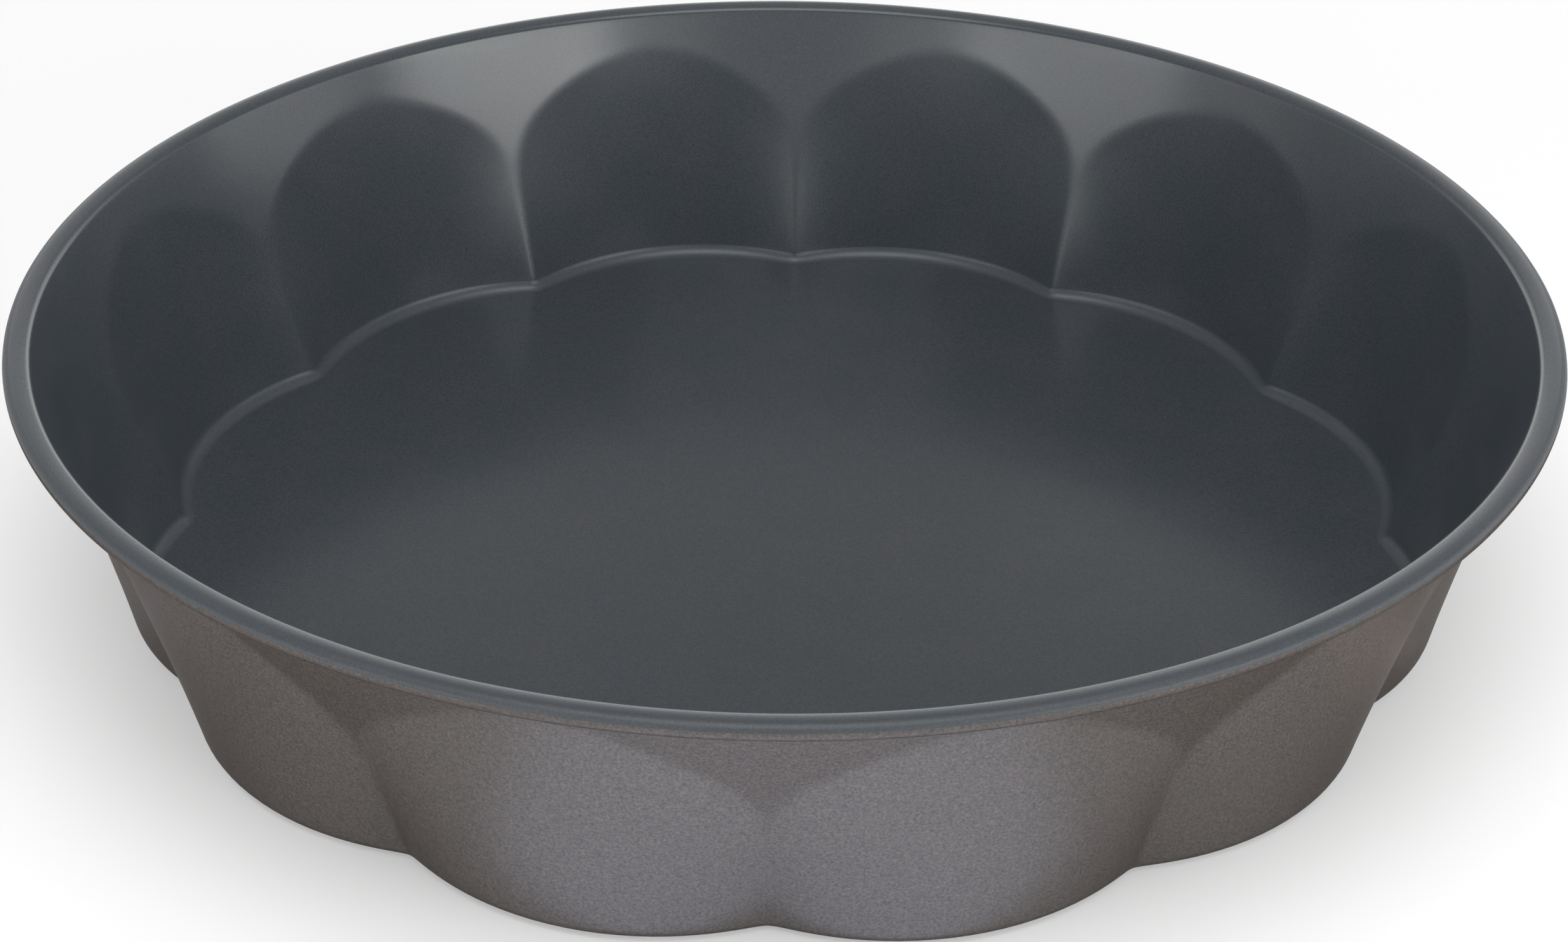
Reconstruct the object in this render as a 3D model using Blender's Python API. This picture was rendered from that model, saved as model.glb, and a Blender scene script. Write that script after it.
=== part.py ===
"""Round cake pan with twelve petals, drawn from one steel sheet, its rim rolled over a steel wire.

The pan stands on z = 0 with its axis on Z. All sizes are in metres. One line across the sheet, from the
floor's edge up the wall and round the rim, is worked out for each direction around the axis. The line is
the sheet's upper face, which is inside the pan and on top of the rim, and the sheet's thickness lies
behind it.
"""

import math

import bmesh
import bpy

# The pan over all
RIM_DIAMETER = 0.280
HEIGHT = 0.056
SHEET = 0.0005

# The petals. The floor is measured over the petals' crests, where the wall's line meets the table
PETALS = 12
PETAL_TURN = math.radians(-1.1)
FLOOR_DIAMETER = 0.246
PETAL_DEPTH = 0.0067
PETAL_HEIGHT = 0.0487
CREST_SAG = 0.0005
ARCH_FALL = 0.0028
ARCH_SHARPNESS = 5
RIDGE_ROUNDING = 0.0009
EDGE_BLEND = 0.0002
FLOOR_FILLET = 0.0030
FOOT_ROUNDING = 0.0014

# The rolled rim: a bend at the wall's top, a slightly crowned land, then a curl round the wire
RIM_BEND = 0.0016
LAND_WIDTH = 0.0022
LAND_SLOPE = math.radians(12)
WIRE_DIAMETER = 0.0014
WIRE_CLEARANCE = 0.0003
CURL_TURN = math.radians(240)

# How finely the faces follow the curves
RIDGE_STEPS = (0.0, 1.2, 3.2, 6.2, 10.2)
FILLET_STEPS = 3
PETAL_LEVELS = (0.25, 0.5, 0.75, 1.0)
COLLAR_LEVELS = (0.35, 0.7)
BEND_STEPS = 2
LAND_STEPS = 1
CURL_STEPS = 8
WIRE_SIDES = 8
WIRE_STEPS = 120

CURL_RADIUS = WIRE_DIAMETER / 2 + WIRE_CLEARANCE + SHEET
CURL_CENTRE = (RIM_DIAMETER / 2 - CURL_RADIUS, HEIGHT - CURL_RADIUS)
LAND_RADIUS = LAND_WIDTH / math.sin(LAND_SLOPE)
LAND_CENTRE = (CURL_CENTRE[0], HEIGHT - LAND_RADIUS)
BEND_CENTRE = (
    LAND_CENTRE[0] - (LAND_RADIUS - RIM_BEND) * math.sin(LAND_SLOPE),
    LAND_CENTRE[1] + (LAND_RADIUS - RIM_BEND) * math.cos(LAND_SLOPE),
)
HALF_PETAL = math.pi / PETALS

# The collar is the plain cone of the wall, from the valleys at the table to its touch with the bend
COLLAR_FOOT = FLOOR_DIAMETER / 2 - PETAL_DEPTH
COLLAR_LEAN = math.atan2(BEND_CENTRE[0] - COLLAR_FOOT, BEND_CENTRE[1]) - math.asin(
    RIM_BEND / math.hypot(BEND_CENTRE[0] - COLLAR_FOOT, BEND_CENTRE[1])
)


def remove_scene_objects():
    for item in list(bpy.data.objects):
        bpy.data.objects.remove(item, do_unlink=True)


def make_material(name, colour, roughness, metallic):
    material = bpy.data.materials.new(name)
    material.use_nodes = True
    shader = material.node_tree.nodes["Principled BSDF"]
    shader.inputs["Base Color"].default_value = (*colour, 1.0)
    shader.inputs["Roughness"].default_value = roughness
    shader.inputs["Metallic"].default_value = metallic
    return material


def collar_radius(height):
    """The plain cone that the wall follows between the petals and above them."""
    return COLLAR_FOOT + math.tan(COLLAR_LEAN) * height


def petal_radius(angle, height, rounding):
    """The round petals: in plan each is an arc through its crest and the two valleys beside it."""
    rise = height / PETAL_HEIGHT
    foot = FLOOR_DIAMETER / 2
    crest = foot + (collar_radius(PETAL_HEIGHT) - foot) * rise - CREST_SAG * 4 * rise * (1 - rise)
    valley = collar_radius(height) - ARCH_FALL * rise ** ARCH_SHARPNESS
    centre = (crest ** 2 - valley ** 2) / (2 * (crest - valley * math.cos(HALF_PETAL)))
    turn = angle - math.pi / 2 - PETAL_TURN
    from_ridge = turn - 2 * HALF_PETAL * round(turn / (2 * HALF_PETAL))
    from_crest = HALF_PETAL - math.hypot(from_ridge, rounding / valley)
    reach = (crest - centre) ** 2 - (centre * math.sin(from_crest)) ** 2
    return centre * math.cos(from_crest) + math.sqrt(reach)


def wall_radius(angle, height, rounding=RIDGE_ROUNDING):
    """The outer of the two surfaces, petals and collar, with the edge between them rounded off."""
    petal = petal_radius(angle, height, rounding)
    collar = collar_radius(height)
    share = min(max(0.5 + (petal - collar) / (2 * EDGE_BLEND), 0.0), 1.0)
    return petal * share + collar * (1 - share) + EDGE_BLEND * share * (1 - share)


def arch_height(angle):
    """The height at which the petal runs out into the collar in one direction, found by halving."""
    low, high = 0.0, PETAL_HEIGHT
    for _ in range(30):
        middle = (low + high) / 2
        if petal_radius(angle, middle, RIDGE_ROUNDING) > collar_radius(middle):
            low = middle
        else:
            high = middle
    return low


def arc_line(centre, radius, first, last, steps):
    """Points along an arc of the rim, each with the way to the sheet's back, which is inwards."""
    line = []
    for step in range(steps + 1):
        place = first + (last - first) * step / steps
        out = (math.cos(place), math.sin(place))
        point = (centre[0] + radius * out[0], centre[1] + radius * out[1])
        line.append((point, (-out[0], -out[1])))
    return line


def fillet_line(angle):
    """The rounded corner between floor and wall. Its foot runs wider round the ridges than its top."""
    top = SHEET + FLOOR_FILLET
    lean = math.atan((wall_radius(angle, top) - wall_radius(angle, 0.0)) / top)
    line = []
    for step in range(FILLET_STEPS + 1):
        share = step / FILLET_STEPS
        place = -math.pi / 2 + (math.pi / 2 - lean) * share
        rounding = RIDGE_ROUNDING + FOOT_ROUNDING * (1 - share)
        centre = wall_radius(angle, top, rounding) - FLOOR_FILLET / math.cos(lean)
        out = (math.cos(place), math.sin(place))
        line.append(((centre + FLOOR_FILLET * out[0], top + FLOOR_FILLET * out[1]), out))
    return line


def wall_line(angle, start, end):
    """The wall between two heights, without its two ends. One point lies on the arch over the petal."""
    arch = arch_height(angle)
    heights = [start + (arch - start) * level for level in PETAL_LEVELS]
    heights += [arch + (end - arch) * level for level in COLLAR_LEVELS]
    line = []
    for height in heights:
        spread = wall_radius(angle, height + SHEET) - wall_radius(angle, height - SHEET)
        lean = math.atan(spread / (2 * SHEET))
        line.append(((wall_radius(angle, height), height), (math.cos(lean), -math.sin(lean))))
    return line


def rim_line():
    """The bend at the wall's top, the land, and the curl down and back under itself."""
    top = math.pi / 2
    land_start = top + LAND_SLOPE
    bend = arc_line(BEND_CENTRE, RIM_BEND, math.pi - COLLAR_LEAN, land_start, BEND_STEPS)
    land = arc_line(LAND_CENTRE, LAND_RADIUS, land_start, top, LAND_STEPS)
    curl = arc_line(CURL_CENTRE, CURL_RADIUS, top, top - CURL_TURN, CURL_STEPS)
    return bend + land[1:] + curl[1:]


def sheet_section(angle):
    """The closed outline of the sheet in one direction: its upper face out, then its back home."""
    fillet = fillet_line(angle)
    rim = rim_line()
    upper = fillet + wall_line(angle, fillet[-1][0][1], rim[0][0][1]) + rim
    face = [point for point, _ in upper]
    back = [(point[0] + SHEET * way[0], point[1] + SHEET * way[1]) for point, way in upper]
    return face + back[::-1]


def ring_angles():
    """Directions around the axis, closer together at the ridges between the petals."""
    pitch = math.degrees(2 * HALF_PETAL)
    after_ridge = [step for step in RIDGE_STEPS if step < pitch / 2]
    before_ridge = [pitch - step for step in reversed(after_ridge[1:])]
    within = after_ridge + [pitch / 2] + before_ridge
    start = math.pi / 2 + PETAL_TURN
    return [start + math.radians(petal * pitch + step) for petal in range(PETALS) for step in within]


def place_ring(ring, angles, sections, index):
    for vert, angle, section in zip(ring, angles, sections):
        radius, height = section[index]
        vert.co = (radius * math.cos(angle), radius * math.sin(angle), height)


def make_pan_shell():
    """The drawn sheet: a floor is laid, and its edge is extruded ring by ring along the section."""
    angles = ring_angles()
    sections = [sheet_section(angle) for angle in angles]
    bm = bmesh.new()
    ring = bmesh.ops.create_circle(bm, cap_ends=True, segments=len(angles), radius=1.0)["verts"]
    place_ring(ring, angles, sections, 0)
    for index in range(1, len(sections[0])):
        edges = [bm.edges.get((ring[i - 1], ring[i])) for i in range(len(ring))]
        grown = bmesh.ops.extrude_edge_only(bm, edges=edges)["geom"]
        fresh = {part for part in grown if isinstance(part, bmesh.types.BMVert)}
        ring = [next(e.other_vert(v) for e in v.link_edges if e.other_vert(v) in fresh) for v in ring]
        place_ring(ring, angles, sections, index)
    bm.faces.new(ring)
    bmesh.ops.recalc_face_normals(bm, faces=bm.faces)
    return finish_mesh(bm, "pan_shell")


def make_rim_wire():
    """The steel wire inside the rolled rim: a round section spun once around the pan's axis."""
    bm = bmesh.new()
    side = bmesh.ops.create_circle(bm, segments=WIRE_SIDES, radius=WIRE_DIAMETER / 2)["verts"]
    for vert in side:
        vert.co = (CURL_CENTRE[0] + vert.co.x, 0.0, CURL_CENTRE[1] + vert.co.y)
    bmesh.ops.spin(bm, geom=side + bm.edges[:], cent=(0, 0, 0), axis=(0, 0, 1), angle=2 * math.pi,
                   steps=WIRE_STEPS, use_merge=True)
    bmesh.ops.recalc_face_normals(bm, faces=bm.faces)
    return finish_mesh(bm, "rim_wire")


def finish_mesh(bm, name):
    mesh = bpy.data.meshes.new(name)
    bm.to_mesh(mesh)
    bm.free()
    mesh.shade_smooth()
    mesh.set_sharp_from_angle(angle=math.radians(50))
    item = bpy.data.objects.new(name, mesh)
    bpy.context.scene.collection.objects.link(item)
    return item


def main():
    remove_scene_objects()
    shell = make_pan_shell()
    shell.data.materials.append(make_material("nonstick_coated_steel", (0.070, 0.078, 0.086), 0.42, 0.5))
    wire = make_rim_wire()
    wire.data.materials.append(make_material("steel_wire", (0.42, 0.43, 0.44), 0.35, 1.0))


main()
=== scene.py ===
# %% [markdown]
# # A flower-shaped cake pan
#
# The real pan is pressed from one round of thin steel sheet that already carries its two coats: a dark
# non-stick coat on the side that becomes the inside, and a warm grey metallic coat on the other side. The
# press forms a flat floor and a wall with twelve petals, and the sheet's edge is rolled over a wire.
#
# This script makes the pan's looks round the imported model. It draws the line that the sheet follows, spins
# it, presses the petals into it, gives it the sheet's thickness, and then finishes both coats.

import math

import bmesh
import bpy
from mathutils import Matrix, Vector


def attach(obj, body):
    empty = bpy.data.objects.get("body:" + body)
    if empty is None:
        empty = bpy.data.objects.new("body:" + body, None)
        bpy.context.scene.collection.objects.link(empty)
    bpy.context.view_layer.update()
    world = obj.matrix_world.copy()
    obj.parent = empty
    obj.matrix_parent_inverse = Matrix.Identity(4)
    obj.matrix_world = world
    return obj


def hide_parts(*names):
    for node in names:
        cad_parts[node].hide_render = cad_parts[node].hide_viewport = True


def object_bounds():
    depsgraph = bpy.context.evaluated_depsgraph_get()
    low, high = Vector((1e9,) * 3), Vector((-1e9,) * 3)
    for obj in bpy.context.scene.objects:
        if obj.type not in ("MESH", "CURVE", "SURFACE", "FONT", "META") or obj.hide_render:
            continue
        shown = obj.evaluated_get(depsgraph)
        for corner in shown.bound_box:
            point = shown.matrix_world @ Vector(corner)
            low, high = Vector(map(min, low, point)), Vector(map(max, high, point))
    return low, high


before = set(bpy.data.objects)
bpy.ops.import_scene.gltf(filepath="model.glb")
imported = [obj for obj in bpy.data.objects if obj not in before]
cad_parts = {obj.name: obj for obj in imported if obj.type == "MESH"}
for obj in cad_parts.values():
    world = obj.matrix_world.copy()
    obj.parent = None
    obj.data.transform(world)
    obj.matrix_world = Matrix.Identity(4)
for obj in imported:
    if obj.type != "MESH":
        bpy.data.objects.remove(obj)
packed_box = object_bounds()
print("Packed nodes:", sorted(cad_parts), "box:", [tuple(round(v, 4) for v in c) for c in packed_box])

# %% [markdown]
# ## The sizes
#
# The rim's radius and the pan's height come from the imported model. The others are those of the real pan,
# in metres, and they are the same as in the solid, so that the finer sheet lies where the solid is.

# %% Name the sizes of the pan
RIM_RADIUS = packed_box[1].x
HEIGHT = packed_box[1].z
SHEET = 0.0005

PETALS = 12
HALF_PETAL = math.pi / PETALS
PETAL_TURN = math.radians(-1.1)
FLOOR_RADIUS = 0.123
PETAL_DEPTH = 0.0067
PETAL_HEIGHT = 0.0487
CREST_SAG = 0.0005
ARCH_FALL = 0.0028
ARCH_SHARPNESS = 5
RIDGE_ROUNDING = 0.0009
EDGE_BLEND = 0.0002
FLOOR_FILLET = 0.0030
FOOT_ROUNDING = 0.0014

RIM_BEND = 0.0016
LAND_WIDTH = 0.0022
LAND_SLOPE = math.radians(12)
WIRE_RADIUS = 0.0007
WIRE_CLEARANCE = 0.0003
CURL_TURN = math.radians(240)
print("Rim radius %.4f m, height %.4f m" % (RIM_RADIUS, HEIGHT))

# %% Work out the centres of the rim's three arcs
CURL_RADIUS = WIRE_RADIUS + WIRE_CLEARANCE + SHEET
CURL_CENTRE = (RIM_RADIUS - CURL_RADIUS, HEIGHT - CURL_RADIUS)
LAND_RADIUS = LAND_WIDTH / math.sin(LAND_SLOPE)
LAND_CENTRE = (CURL_CENTRE[0], HEIGHT - LAND_RADIUS)
BEND_CENTRE = (
    LAND_CENTRE[0] - (LAND_RADIUS - RIM_BEND) * math.sin(LAND_SLOPE),
    LAND_CENTRE[1] + (LAND_RADIUS - RIM_BEND) * math.cos(LAND_SLOPE),
)
COLLAR_FOOT = FLOOR_RADIUS - PETAL_DEPTH
COLLAR_LEAN = math.atan2(BEND_CENTRE[0] - COLLAR_FOOT, BEND_CENTRE[1]) - math.asin(
    RIM_BEND / math.hypot(BEND_CENTRE[0] - COLLAR_FOOT, BEND_CENTRE[1])
)
print("The collar leans out by %.1f degrees" % math.degrees(COLLAR_LEAN))

# %% [markdown]
# ## The shape of the wall
#
# Between the petals and above them the wall is a plain cone, called the collar here. Each petal is a round
# bulge that is deepest at the floor and dies out in the collar, in an arch. In plan a petal is an arc of a
# circle through its crest and the two valleys beside it.
#
# The petals could be moved into a plain wall by hand, but one formula for the radius at a given direction
# and height gives all twelve, exactly alike. The wall is the outer of the two surfaces, with the edge
# between them eased, because a press can't fold sheet to a sharp edge.


# %% Write the collar and the petals as formulas
def collar_radius(height):
    """The plain cone of the wall."""
    return COLLAR_FOOT + math.tan(COLLAR_LEAN) * height


def petal_radius(angle, height, rounding):
    """The petals, each an arc in plan through its crest and two valleys."""
    rise = height / PETAL_HEIGHT
    crest = FLOOR_RADIUS + (collar_radius(PETAL_HEIGHT) - FLOOR_RADIUS) * rise
    crest -= CREST_SAG * 4 * rise * (1 - rise)
    valley = collar_radius(height) - ARCH_FALL * rise ** ARCH_SHARPNESS
    centre = (crest ** 2 - valley ** 2) / (2 * (crest - valley * math.cos(HALF_PETAL)))
    turn = angle - math.pi / 2 - PETAL_TURN
    from_ridge = turn - 2 * HALF_PETAL * round(turn / (2 * HALF_PETAL))
    from_crest = HALF_PETAL - math.hypot(from_ridge, rounding / valley)
    reach = (crest - centre) ** 2 - (centre * math.sin(from_crest)) ** 2
    return centre * math.cos(from_crest) + math.sqrt(reach)


def wall_radius(angle, height, rounding=RIDGE_ROUNDING):
    """The outer of petals and collar, with the edge between them eased."""
    petal = petal_radius(angle, height, rounding)
    collar = collar_radius(height)
    share = min(max(0.5 + (petal - collar) / (2 * EDGE_BLEND), 0.0), 1.0)
    return petal * share + collar * (1 - share) + EDGE_BLEND * share * (1 - share)


ridge, crest = (wall_radius(math.pi / 2 + PETAL_TURN + a, 0.01) for a in (0.0, HALF_PETAL))
print("At 10 mm up the wall is %.1f mm out at a ridge and %.1f mm at a crest" % (ridge * 1e3, crest * 1e3))

# %% [markdown]
# ## The line of the sheet
#
# In each direction the sheet follows one line: across the floor, round the fillet, up the wall, over the
# rim's bend and land, and round the curl. All directions have the same number of points, so the lines can
# later be joined to one even skin. The points are close where the line bends and far apart where it is
# flat. It is drawn in three parts: the rim, the corner round the floor, and the whole line.

# %% Draw the rim's three arcs
BEND_STEPS = 8
LAND_STEPS = 3
CURL_STEPS = 20


def arc(centre, radius, first, last, steps):
    """Points along an arc, as (radius from the axis, height)."""
    angles = [first + (last - first) * step / steps for step in range(steps + 1)]
    return [(centre[0] + radius * math.cos(a), centre[1] + radius * math.sin(a)) for a in angles]


def rim_line():
    """The bend at the wall's top, the land, and the curl."""
    top = math.pi / 2
    bend = arc(BEND_CENTRE, RIM_BEND, math.pi - COLLAR_LEAN, top + LAND_SLOPE, BEND_STEPS)
    land = arc(LAND_CENTRE, LAND_RADIUS, top + LAND_SLOPE, top, LAND_STEPS)
    curl = arc(CURL_CENTRE, CURL_RADIUS, top, top - CURL_TURN, CURL_STEPS)
    return bend + land[1:] + curl[1:]


print("The rim has %d points, from %.1f mm up" % (len(rim_line()), rim_line()[0][1] * 1e3))

# %% Draw the corner round the floor
FILLET_STEPS = 8


def fillet_line(angle):
    """The corner between floor and wall. Its foot runs wider round the ridges than its top."""
    top = SHEET + FLOOR_FILLET
    lean = math.atan((wall_radius(angle, top) - wall_radius(angle, 0.0)) / top)
    line = []
    for step in range(FILLET_STEPS + 1):
        share = step / FILLET_STEPS
        place = -math.pi / 2 + (math.pi / 2 - lean) * share
        rounding = RIDGE_ROUNDING + FOOT_ROUNDING * (1 - share)
        centre = wall_radius(angle, top, rounding) - FLOOR_FILLET / math.cos(lean)
        line.append((centre + FLOOR_FILLET * math.cos(place), top + FLOOR_FILLET * math.sin(place)))
    return line


print("The corner has %d points, up to %.1f mm" % (FILLET_STEPS + 1, fillet_line(0.0)[-1][1] * 1e3))

# %% [markdown]
# ## Points along the arch
#
# The arch over each petal is a crisp edge. If it ran slantwise through the faces it would show as a
# staircase in the gloss. So in each direction the height where the petal runs out is found first, by
# halving, and a few of the line's points are kept for it.

# %% Draw the whole line, from the floor's centre to the end of the curl
FLOOR_STEPS = 10
PETAL_STEPS = 16
ARCH_STEPS = 6
COLLAR_STEPS = 7
HALVINGS = 24


def height_where(angle, petal_ahead):
    """The height at which the petal stands this far outside the collar."""
    low, high = 0.0, HEIGHT
    for _ in range(HALVINGS):
        middle = (low + high) / 2
        if petal_radius(angle, middle, RIDGE_ROUNDING) - collar_radius(middle) > petal_ahead:
            low = middle
        else:
            high = middle
    return low


def steps_between(low, high, steps):
    """Even heights from low to high, without the last."""
    return [low + (high - low) * step / steps for step in range(steps)]


def sheet_line(angle):
    """The whole line of the sheet's upper face in one direction."""
    fillet = fillet_line(angle)
    floor = [(fillet[0][0] * step / FLOOR_STEPS, SHEET) for step in range(FLOOR_STEPS)]
    rim = rim_line()
    foot, head = fillet[-1][1], rim[0][1]
    arch_low, arch_high = height_where(angle, EDGE_BLEND), height_where(angle, -EDGE_BLEND)
    heights = steps_between(foot, arch_low, PETAL_STEPS)[1:]
    heights += steps_between(arch_low, arch_high, ARCH_STEPS)
    heights += steps_between(arch_high, head, COLLAR_STEPS)
    return floor + fillet + [(wall_radius(angle, h), h) for h in heights] + rim


first_line = sheet_line(math.pi / 2)
print("The line has %d points" % len(first_line))

# %% [markdown]
# ## Spin the line, then press the petals
#
# A plain spin of the line gives a round pan with no petals, as the blank looks halfway through the press.
# Each vertex keeps the number of its point on the line, in a layer of the mesh. Then every vertex is moved
# to where the line of its own direction has that point, which presses the petals in. The directions are
# drawn together towards the ridges, where the sheet turns sharply, and the crests get fewer.
#
# Two more layers are kept for the finishes: where the sheet is bent tightly, and how far the petal stands
# out of the collar's cone.

# %% Spin the line round the axis
STEPS_PER_PETAL = 40
SPIN_STEPS = PETALS * STEPS_PER_PETAL
CROWDING_AT_RIDGES = 0.8
BENT_IN_CURL = 1.0
BENT_IN_FILLET = 0.6
SAME_PLACE = 1e-6


def crowded_direction(step):
    """The direction of one spin step, closer to its neighbours near a ridge."""
    petal, part = divmod(step, STEPS_PER_PETAL)
    share = part / STEPS_PER_PETAL
    share -= CROWDING_AT_RIDGES * math.sin(2 * math.pi * share) / (2 * math.pi)
    return math.pi / 2 + PETAL_TURN + 2 * HALF_PETAL * (petal + share)


pressed = bmesh.new()
point_number = pressed.verts.layers.int.new("point_number")
petal_depth = pressed.verts.layers.float.new("petal_depth")
tightly_bent = pressed.verts.layers.float.new("tightly_bent")
line = [pressed.verts.new((radius, 0.0, height)) for radius, height in first_line]
for number, vert in enumerate(line):
    vert[point_number] = number
    if number >= len(line) - CURL_STEPS:
        vert[tightly_bent] = BENT_IN_CURL
    elif FLOOR_STEPS < number < FLOOR_STEPS + FILLET_STEPS:
        vert[tightly_bent] = BENT_IN_FILLET
spokes = [pressed.edges.new(pair) for pair in zip(line, line[1:])]
bmesh.ops.spin(pressed, geom=line + spokes, cent=(0, 0, 0), axis=(0, 0, 1), angle=2 * math.pi,
               steps=SPIN_STEPS, use_merge=True)
centre_verts = [vert for vert in pressed.verts if vert[point_number] == 0]
bmesh.ops.remove_doubles(pressed, verts=centre_verts, dist=SAME_PLACE)
print("The spun blank has %d faces" % len(pressed.faces))

# %% Press the petals into the spun blank
lines = [sheet_line(crowded_direction(step)) for step in range(SPIN_STEPS)]
for vert in pressed.verts:
    step = round(math.atan2(vert.co.y, vert.co.x) / (2 * math.pi) * SPIN_STEPS) % SPIN_STEPS
    radius, height = lines[step][vert[point_number]]
    angle = crowded_direction(step)
    vert.co = (radius * math.cos(angle), radius * math.sin(angle), height)
    petal = petal_radius(angle, min(height, PETAL_HEIGHT), RIDGE_ROUNDING)
    vert[petal_depth] = petal - collar_radius(height)
bmesh.ops.recalc_face_normals(pressed, faces=pressed.faces)
upward = sum(face.normal.z * face.calc_area() for face in pressed.faces)
if upward < 0:
    bmesh.ops.reverse_faces(pressed, faces=pressed.faces)
print("Pressed, with the faces' normals %s" % ("turned over" if upward < 0 else "as they were"))

# %% [markdown]
# ## Where the two coats meet
#
# The sheet is coated before it is pressed, and the dark coat runs over the rim and ends on the outer side
# of the curl, 66 degrees round it from the top. From there on the faces take the second finish, the coat
# of the outside. The line follows a row of faces, so it needs no mask. Then the mesh becomes an object.

# %% Give the lip of the curl the finish of the outside
CURL_COATED = math.radians(66)
OUTSIDE_FINISH = 1
lip_start = len(first_line) - 1 - round(CURL_STEPS * (1 - CURL_COATED / CURL_TURN))
for face in pressed.faces:
    if min(vert[point_number] for vert in face.verts) >= lip_start:
        face.material_index = OUTSIDE_FINISH
print("The lip starts at point %d of the line" % lip_start)


# %% Make the pressed sheet an object
def finish_piece(making, name):
    """Writes the mesh, shades it smooth and links it at the origin."""
    mesh = bpy.data.meshes.new(name)
    making.to_mesh(mesh)
    making.free()
    mesh.shade_smooth()
    piece = bpy.data.objects.new(name, mesh)
    bpy.context.scene.collection.objects.link(piece)
    return piece


pan_sheet = finish_piece(pressed, "pan_sheet")
print("pan_sheet has %d faces on its upper side" % len(pan_sheet.data.polygons))

# %% [markdown]
# ## The thickness of the sheet
#
# The sheet could be drawn as a closed outline with both its faces, but one face is easier to press. A
# Solidify modifier lays the other face half a millimetre behind it. It also hands the next material to
# that face, and the one after it to the cut edge, so each side of the sheet gets its own coat and the
# edge in the curl shows bare steel.

# %% Give the sheet its thickness
thickness = pan_sheet.modifiers.new("sheet_thickness", "SOLIDIFY")
thickness.thickness = SHEET
thickness.offset = -1
thickness.use_even_offset = True
thickness.material_offset = 1
thickness.material_offset_rim = 2
print("The sheet is %.1f mm thick" % (thickness.thickness * 1e3))

# %% [markdown]
# ## The wire in the rim
#
# The rim is rolled over a round steel wire. It can be seen only from below, through the gap that the curl
# leaves. bmesh has no ring shape to start from, so a small circle is spun round the pan's axis.

# %% Spin the wire
WIRE_SIDES = 16
WIRE_STEPS = 240
wire_making = bmesh.new()
side = bmesh.ops.create_circle(wire_making, segments=WIRE_SIDES, radius=WIRE_RADIUS)["verts"]
for vert in side:
    vert.co = (CURL_CENTRE[0] + vert.co.x, 0.0, CURL_CENTRE[1] + vert.co.y)
bmesh.ops.spin(wire_making, geom=side + wire_making.edges[:], cent=(0, 0, 0), axis=(0, 0, 1),
               angle=2 * math.pi, steps=WIRE_STEPS, use_merge=True)
bmesh.ops.recalc_face_normals(wire_making, faces=wire_making.faces)
hoop_wire = finish_piece(wire_making, "hoop_wire")
print("hoop_wire has %d faces" % len(hoop_wire.data.polygons))

# %% [markdown]
# ## Helpers for the finishes
#
# Colours are written as they are picked on a screen, in sRGB hex, and one function turns them to the linear
# values that the shader wants. Another adds a node with its settings and links. Colours are mixed so often
# that the mix is written once, with that function. A pattern's scale is worked out from a real size in
# millimetres.


# %% Write the helpers
def linear(hex_colour):
    """An sRGB hex colour such as "55595d" as linear red, green, blue and alpha."""
    values = [int(hex_colour[i:i + 2], 16) / 255 for i in (0, 2, 4)]
    return [v / 12.92 if v <= 0.04045 else ((v + 0.055) / 1.055) ** 2.4 for v in values] + [1.0]


def per_metre(size_mm):
    """The scale of a pattern in Object coordinates whose features are this many millimetres wide."""
    return 1000.0 / size_mm


def add_node(tree, kind, inputs=None, **settings):
    """Adds a node. An input is given a value, or is linked where a socket is given."""
    node = tree.nodes.new(kind)
    for name, value in settings.items():
        setattr(node, name, value)
    for name, value in (inputs or {}).items():
        if isinstance(value, bpy.types.NodeSocket):
            tree.links.new(value, node.inputs[name])
        else:
            node.inputs[name].default_value = value
    return node


def mix_colours(tree, share, first, second, blend_type="MIX"):
    """Mixes two colours, each a value or a socket, and returns the mixed colour's socket.

    The node has sockets for numbers and vectors too, so those for colours go by number: 6, 7 and 2.
    """
    mixed = add_node(tree, "ShaderNodeMix", {"Factor": share, 6: first, 7: second}, data_type="RGBA",
                     blend_type=blend_type)
    return mixed.outputs[2]


def new_material(name):
    """A material with its Principled shader, and the coordinates that its patterns read."""
    material = bpy.data.materials.new(name)
    material.use_nodes = True
    tree = material.node_tree
    place = add_node(tree, "ShaderNodeTexCoord").outputs["Object"]
    return material, tree, tree.nodes["Principled BSDF"], place


print("The grey 808080 of a screen is %.3f in linear values" % linear("808080")[0])

# %% [markdown]
# ## The non-stick coat
#
# The inside has a baked polymer coat: PTFE with dark pigment and fine mica, sprayed on and cured. The eye
# sees a slate-grey body colour with a fine grain and, above it, a clear satin gloss that stays neutral. So
# the shader is a dielectric. The body colour drifts a little between a greener and a bluer slate over a
# couple of centimetres, as a sprayed coat does. The mica is a grain of a third of a millimetre, with faint
# coloured flecks and shallow relief. It is drawn a little coarser than it is, so that it shows.
#
# Where the sheet is bent tightly, in the corner round the floor and on the curl, the press has crazed the
# coat finely. There it is more matt, and its highlights are broad and soft. The layer of the mesh that was
# kept for this adds to the roughness.

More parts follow.
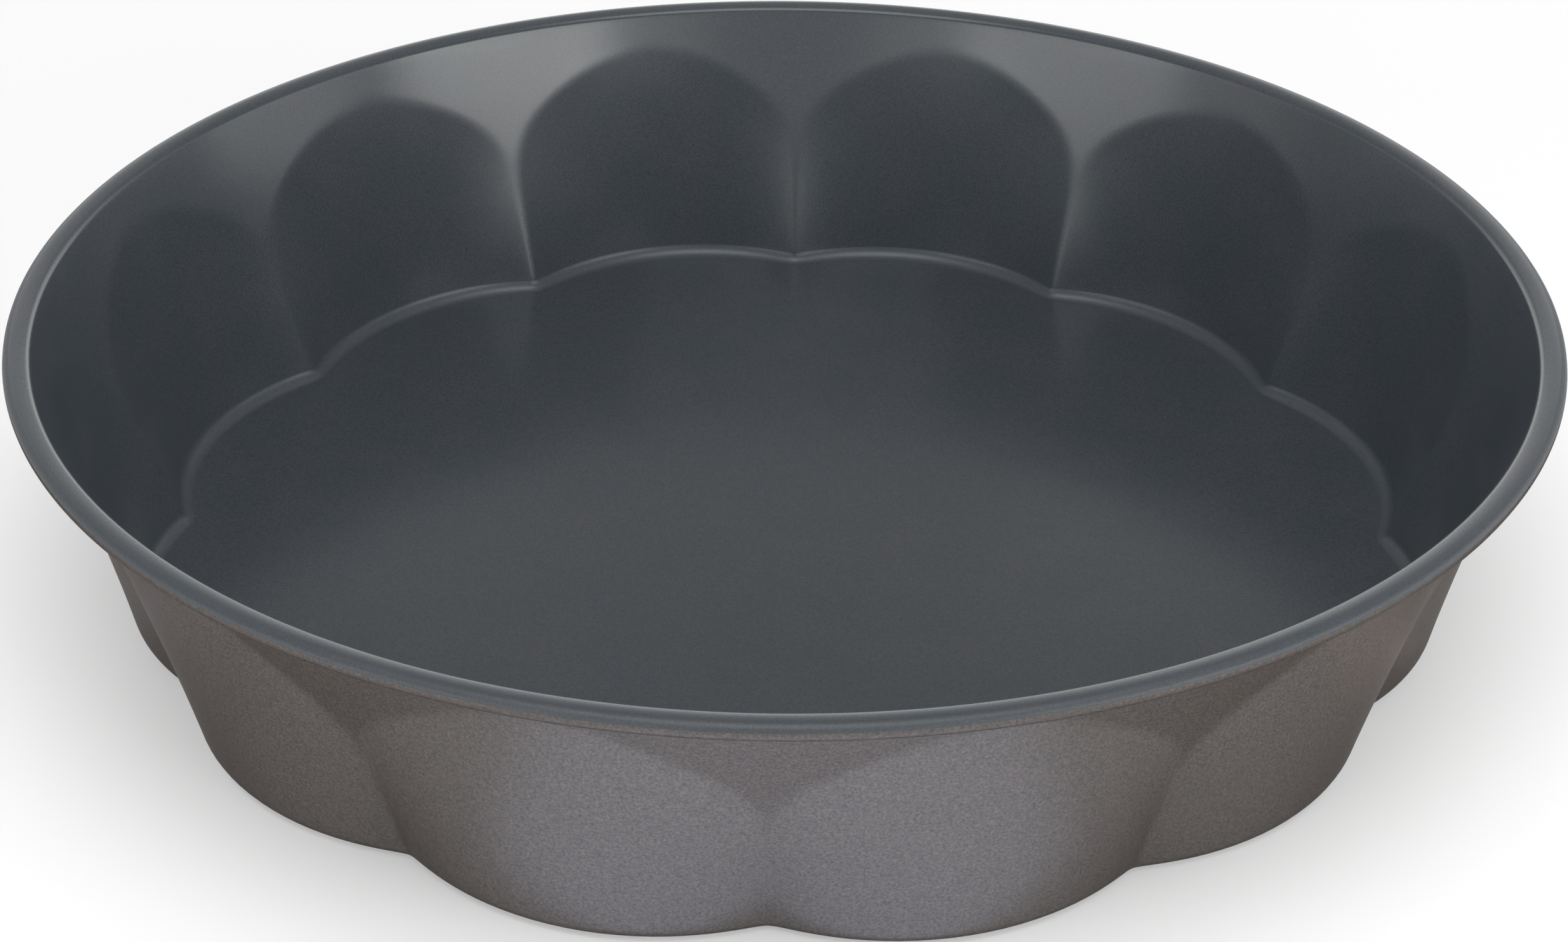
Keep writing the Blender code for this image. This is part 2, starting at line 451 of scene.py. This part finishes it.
# %% Make the body colour of the non-stick coat
COAT_GRAIN = 0.35
COAT_CLOUD = 16.0
FLECK_STRENGTH = 0.08
coat, tree, shader, place = new_material("slate_nonstick_coat")
grain = add_node(tree, "ShaderNodeTexNoise",
                 {"Vector": place, "Scale": per_metre(COAT_GRAIN), "Detail": 2.0})
cloud = add_node(tree, "ShaderNodeTexNoise",
                 {"Vector": place, "Scale": per_metre(COAT_CLOUD), "Detail": 1.0})
body = mix_colours(tree, cloud.outputs["Fac"], linear("424d52"), linear("505158"))
tone = mix_colours(tree, grain.outputs["Fac"], linear("2b2f32"), body)
flecked = mix_colours(tree, FLECK_STRENGTH, tone, grain.outputs["Color"], "OVERLAY")
tree.links.new(flecked, shader.inputs["Base Color"])
print("Made the body colour of", coat.name)

# %% Give the non-stick coat its gloss and relief
SMOOTHEST, ROUGHEST = 0.20, 0.24
BENT_MATTING = 0.24
GRAIN_RELIEF = 0.00001
gloss = add_node(tree, "ShaderNodeMapRange",
                 {"Value": cloud.outputs["Fac"], "To Min": SMOOTHEST, "To Max": ROUGHEST})
bent = add_node(tree, "ShaderNodeAttribute", attribute_name="tightly_bent")
matted = add_node(tree, "ShaderNodeMath",
                  {0: bent.outputs["Fac"], 1: BENT_MATTING, 2: gloss.outputs["Result"]},
                  operation="MULTIPLY_ADD")
relief = add_node(tree, "ShaderNodeBump",
                  {"Height": grain.outputs["Fac"], "Distance": GRAIN_RELIEF, "Strength": 0.5})
tree.links.new(matted.outputs[0], shader.inputs["Roughness"])
tree.links.new(relief.outputs["Normal"], shader.inputs["Normal"])
shader.inputs["IOR"].default_value = 1.5
print("Made", coat.name)

# %% [markdown]
# ## The coat outside
#
# The outside has a thinner coat in a warm taupe grey, with coarser metal flakes. The flakes give back the
# light as metal does, but the pigment between them keeps the coat dark when it is seen at a low angle,
# which is a dark edge tint in the shader. Seen close up it sparkles, with specks a shade warmer and cooler.
#
# The collar, under the rim, is given a darker colour than the petals: this is painted shade, standing in for
# the rim's shadow on it. It shows as an arch under the rim, like the one inside. The tone changes over the
# last 0.3 mm of the petal's depth, read from the layer that was kept for it.

# %% Make the colour of the coat outside
FLAKE = 0.45
SPECK_STRENGTH = 0.12
TONE_FADE = 0.0003
outer_coat, tree, shader, place = new_material("taupe_metallic_coat")
flakes = add_node(tree, "ShaderNodeTexNoise",
                  {"Vector": place, "Scale": per_metre(FLAKE), "Detail": 2.0})
depth = add_node(tree, "ShaderNodeAttribute", attribute_name="petal_depth")
# Painted shade: the collar under the rim gets a darker colour, and the petals keep the coat's own colour.
out_of_painted_shade = add_node(tree, "ShaderNodeMapRange",
                     {"Value": depth.outputs["Fac"], "From Min": -TONE_FADE, "From Max": 0.0})
collar_painted_shade = mix_colours(tree, flakes.outputs["Fac"], linear("464240"), linear("7a7572"))
on_petals = mix_colours(tree, flakes.outputs["Fac"], linear("4c4846"), linear("84807e"))
tone = mix_colours(tree, out_of_painted_shade.outputs["Result"], collar_painted_shade, on_petals)
specked = mix_colours(tree, SPECK_STRENGTH, tone, flakes.outputs["Color"], "OVERLAY")
tree.links.new(specked, shader.inputs["Base Color"])
print("Made the colour of", outer_coat.name)

# %% Give the coat outside its metallic gloss
FLAKE_RELIEF = 0.00002
relief = add_node(tree, "ShaderNodeBump",
                  {"Height": flakes.outputs["Fac"], "Distance": FLAKE_RELIEF, "Strength": 0.6})
tree.links.new(relief.outputs["Normal"], shader.inputs["Normal"])
shader.inputs["Roughness"].default_value = 0.42
shader.inputs["Metallic"].default_value = 0.8
shader.inputs["Specular Tint"].default_value = linear("807a76")
print("Made", outer_coat.name)

# %% [markdown]
# ## Bare steel
#
# The cut edge of the sheet, inside the curl, and the wire are bare drawn steel: a grey metal with a gloss
# that changes a little over half a millimetre, from the die that it was pulled through.

# %% Make the bare steel
DIE_MARKS = 0.5
bare_steel, tree, shader, place = new_material("bare_drawn_steel")
drawn = add_node(tree, "ShaderNodeTexNoise",
                 {"Vector": place, "Scale": per_metre(DIE_MARKS), "Detail": 3.0})
gloss = add_node(tree, "ShaderNodeMapRange",
                 {"Value": drawn.outputs["Fac"], "To Min": 0.25, "To Max": 0.45})
tree.links.new(gloss.outputs["Result"], shader.inputs["Roughness"])
shader.inputs["Base Color"].default_value = linear("a8a9ab")
shader.inputs["Metallic"].default_value = 1.0
print("Made", bare_steel.name)

# %% [markdown]
# ## What each piece stands for
#
# The sheet takes its three finishes in the order that the Solidify modifier counts on. Both pieces are
# fixed to the model's one body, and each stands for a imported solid, which is hidden.

# %% Put the finishes on, and say what each piece stands for
for finish in (coat, outer_coat, bare_steel):
    pan_sheet.data.materials.append(finish)
hoop_wire.data.materials.append(bare_steel)
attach(pan_sheet, "root")
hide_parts("pan_shell")
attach(hoop_wire, "root")
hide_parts("rim_wire")
print("Pieces:", pan_sheet.name, hoop_wire.name)

# %% [markdown]
# ## The table
#
# The pan stands on a plain white table that runs out into a white room. To soft light the table is a matt
# white board, which lights the wall from below. Seen straight or mirrored it glows a little by itself, so
# it takes only a part of the shadow, and from half a metre out it fades into the white of the room.

# %% Make the table
TABLE_SIZE = 6.0
TABLE_DROP = 0.0002
table_making = bmesh.new()
bmesh.ops.create_grid(table_making, x_segments=1, y_segments=1, size=TABLE_SIZE / 2)
bmesh.ops.translate(table_making, verts=table_making.verts, vec=(0, 0, -TABLE_DROP))
table = finish_piece(table_making, "table")
print("The table is %.0f m wide" % TABLE_SIZE)

# %% Make the table's finish
ROOM_AT_TABLE = 0.9
GLOW = 0.25
SHADED = 0.75
FADE_START = 0.5
FADE_END = 1.3
table_finish, tree, shader, place = new_material("matt_white_board")
shader.inputs["Base Color"].default_value = linear("ebebeb")
shader.inputs["Roughness"].default_value = 0.9
glow = add_node(tree, "ShaderNodeEmission", {"Color": (1, 1, 1, 1), "Strength": GLOW})
shaded = add_node(tree, "ShaderNodeBsdfDiffuse", {"Color": (SHADED, SHADED, SHADED, 1)})
near = add_node(tree, "ShaderNodeAddShader", {0: glow.outputs[0], 1: shaded.outputs[0]})
far = add_node(tree, "ShaderNodeEmission", {"Color": (1, 1, 1, 1), "Strength": ROOM_AT_TABLE})
away = add_node(tree, "ShaderNodeVectorMath", {0: place}, operation="LENGTH")
fade = add_node(tree, "ShaderNodeMapRange",
                {"Value": away.outputs["Value"], "From Min": FADE_START, "From Max": FADE_END})
seen = add_node(tree, "ShaderNodeMixShader",
                {0: fade.outputs["Result"], 1: near.outputs[0], 2: far.outputs[0]})
print("The table fades out from %.1f to %.1f m" % (FADE_START, FADE_END))

# %% Show that finish to rays that look or mirror, and the plain board to soft light
ray = add_node(tree, "ShaderNodeLightPath")
looking = add_node(tree, "ShaderNodeMath",
                   {0: ray.outputs["Is Camera Ray"], 1: ray.outputs["Is Glossy Ray"]},
                   operation="MAXIMUM")
looking = add_node(tree, "ShaderNodeMath",
                   {0: looking.outputs[0], 1: ray.outputs["Is Transmission Ray"]},
                   operation="MAXIMUM")
choice = add_node(tree, "ShaderNodeMixShader",
                  {0: looking.outputs[0], 1: shader.outputs[0], 2: seen.outputs[0]})
tree.links.new(choice.outputs[0], tree.nodes["Material Output"].inputs["Surface"])
table.data.materials.append(table_finish)
print("Made", table_finish.name)

# %% [markdown]
# ## The white room
#
# The room is a white studio. The world gives it as one ramp over the height of a ray's direction, in pairs
# of degrees up and brightness. It is bright just above the table and again at 16 degrees, where the sloping
# collar mirrors it. In between it is darker, because the tops of the petals are steeper, mirror that part
# and look dark beside the collar. Higher up it is dim too, because the flat floor mirrors it.

# %% Make the white room
ROOM = ((0, ROOM_AT_TABLE), (8, 0.4), (16, 1.25), (26, 0.5), (40, 0.42), (60, 0.5), (90, 0.7))
world = bpy.data.worlds.new("white_room")
bpy.context.scene.world = world
world.use_nodes = True
tree = world.node_tree
toward = add_node(tree, "ShaderNodeTexCoord").outputs["Generated"]
rise = add_node(tree, "ShaderNodeSeparateXYZ", {0: toward})
ramp = add_node(tree, "ShaderNodeValToRGB", {"Fac": rise.outputs["Z"]})
while len(ramp.color_ramp.elements) < len(ROOM):
    ramp.color_ramp.elements.new(0.5)
for element, (degrees_up, level) in zip(ramp.color_ramp.elements, ROOM):
    element.position = math.sin(math.radians(degrees_up))
    element.color = (level, level, level, 1.0)
tree.links.new(ramp.outputs["Color"], tree.nodes["Background"].inputs["Color"])
print("The room is lit in %d steps from the table up" % len(ROOM))

# %% [markdown]
# ## The softboxes round the table
#
# Two large softboxes stand in front of the table, to the right and the left, and weaker strips fill in
# beside them. They are what the collar mirrors at the back left and back right. They hang above the pan's
# rim, so that the petals below the collar don't mirror them but see the pan's own dark inside. The strip at
# the back is mirrored by the far rim, and the two above it by the land of the rim at its sides.
#
# The radiance given for each is how bright its face is, where 1 is the white of the picture. Area lamps are
# used, and not glowing boards, because they give the same light with less noise.

# %% Write the helpers for the lights
CARD_HEIGHT = 0.0005


def soft_light(name, place, aim, width, height, radiance, colour="ffffff"):
    """A rectangle of light at a place, facing the point that it aims at."""
    lamp = bpy.data.lights.new(name, "AREA")
    lamp.shape = "RECTANGLE"
    lamp.size, lamp.size_y = width, height
    lamp.energy = radiance * math.pi * width * height
    lamp.color = linear(colour)[:3]
    holder = bpy.data.objects.new(name, lamp)
    holder.location = place
    holder.rotation_euler = (Vector(aim) - Vector(place)).to_track_quat("-Z", "Y").to_euler()
    holder.visible_camera = False
    bpy.context.scene.collection.objects.link(holder)


def strip_light(name, bearing, distance, low, high, width, radiance):
    """An upright strip facing the pan. Bearing 0 is towards +X and 90 towards +Y."""
    turn, middle = math.radians(bearing), (low + high) / 2
    place = (distance * math.cos(turn), distance * math.sin(turn), middle)
    soft_light(name, place, (0, 0, middle), width, high - low, radiance)


def fill_card(name, x, y, width, depth, radiance, colour):
    """A card that lies on the table and shines straight up."""
    soft_light(name, (x, y, CARD_HEIGHT), (x, y, 1.0), width, depth, radiance, colour)


print("A card lies %.1f mm above the table" % (CARD_HEIGHT * 1e3))

# %% Stand the softboxes and strips
# Each has a name, bearing, distance, low and high edge, width and radiance
STRIPS = (
    ("softbox_right", -38, 0.9, 0.22, 0.44, 0.66, 5.5),
    ("softbox_left", -142, 0.9, 0.22, 0.44, 0.66, 3.0),
    ("front_strip_right", -62, 0.9, 0.20, 0.42, 0.4, 1.1),
    ("front_strip_left", -118, 0.9, 0.20, 0.42, 0.4, 1.0),
    ("side_strip_right", 5, 0.9, 0.06, 0.36, 0.5, 1.5),
    ("side_strip_left", -170, 0.9, 0.06, 0.36, 0.4, 0.5),
    ("strip_back", 90, 1.0, 0.02, 0.35, 1.4, 1.2),
    ("back_strip_right", 66, 0.9, 0.34, 0.52, 0.5, 0.7),
    ("back_strip_left", 114, 0.9, 0.34, 0.52, 0.5, 0.35),
)
for strip in STRIPS:
    strip_light(*strip)
print("Stood", len(STRIPS), "softboxes and strips")

# %% [markdown]
# ## The overhead softbox and the fill cards
#
# The main softbox hangs over the pan, a little to the front. It gives the bright line in the corner round
# the floor. Three small cards lie on the table beside the pan and light the wall outside from below: a wide
# bluish one in front, which makes the petals there look lilac, and a narrow one at each side for the
# streaks.

# %% Hang the overhead softbox, and lay the fill cards
KEY_RISE = math.radians(72)
KEY_DISTANCE = 0.95
key_place = (0.0, -KEY_DISTANCE * math.cos(KEY_RISE), KEY_DISTANCE * math.sin(KEY_RISE))
soft_light("softbox_overhead", key_place, (0, 0, 0), 0.7, 0.62, 2.8)
fill_card("fill_card_front", 0.0, -0.162, 0.12, 0.08, 0.65, "ccdcff")
fill_card("fill_card_left", -0.140, -0.065, 0.025, 0.05, 0.7, "e4ecff")
fill_card("fill_card_right", 0.132, -0.072, 0.025, 0.045, 0.85, "fffaf7")

# %% [markdown]
# ## The camera
#
# The photograph was taken from the front, looking down at the pan at about 31 degrees, from half a metre.
# The place, the turns and the focal length come from fitting the rim's and the floor's outlines to it.

# %% Place the camera
PHOTO_WIDTH = 2470
FOCAL_LENGTH_PIXELS = 4229.6
CAMERA_PLACE = (-0.0010, -0.4425, 0.2791)
CAMERA_TURN = math.radians(0.13)
CAMERA_DOWN = math.radians(30.93)
CAMERA_ROLL = math.radians(0.42)
camera = bpy.data.objects.new("camera", bpy.data.cameras.new("camera"))
camera.data.sensor_width = 36.0
camera.data.lens = FOCAL_LENGTH_PIXELS * camera.data.sensor_width / PHOTO_WIDTH
camera.matrix_world = (
    Matrix.Translation(CAMERA_PLACE)
    @ Matrix.Rotation(-CAMERA_TURN, 4, "Z")
    @ Matrix.Rotation(math.pi / 2 - CAMERA_DOWN, 4, "X")
    @ Matrix.Rotation(CAMERA_ROLL, 4, "Z")
)
bpy.context.scene.collection.objects.link(camera)
bpy.context.scene.camera = camera
bpy.context.scene.view_settings.view_transform = "Standard"
print("The lens is %.1f mm" % camera.data.lens)

# %% [markdown]
# ## The boxes
#
# The box of the imported model is printed once more.

# %% Print the imported model's box, and finish
print("Packed box", [tuple(round(v, 4) for v in c) for c in packed_box])
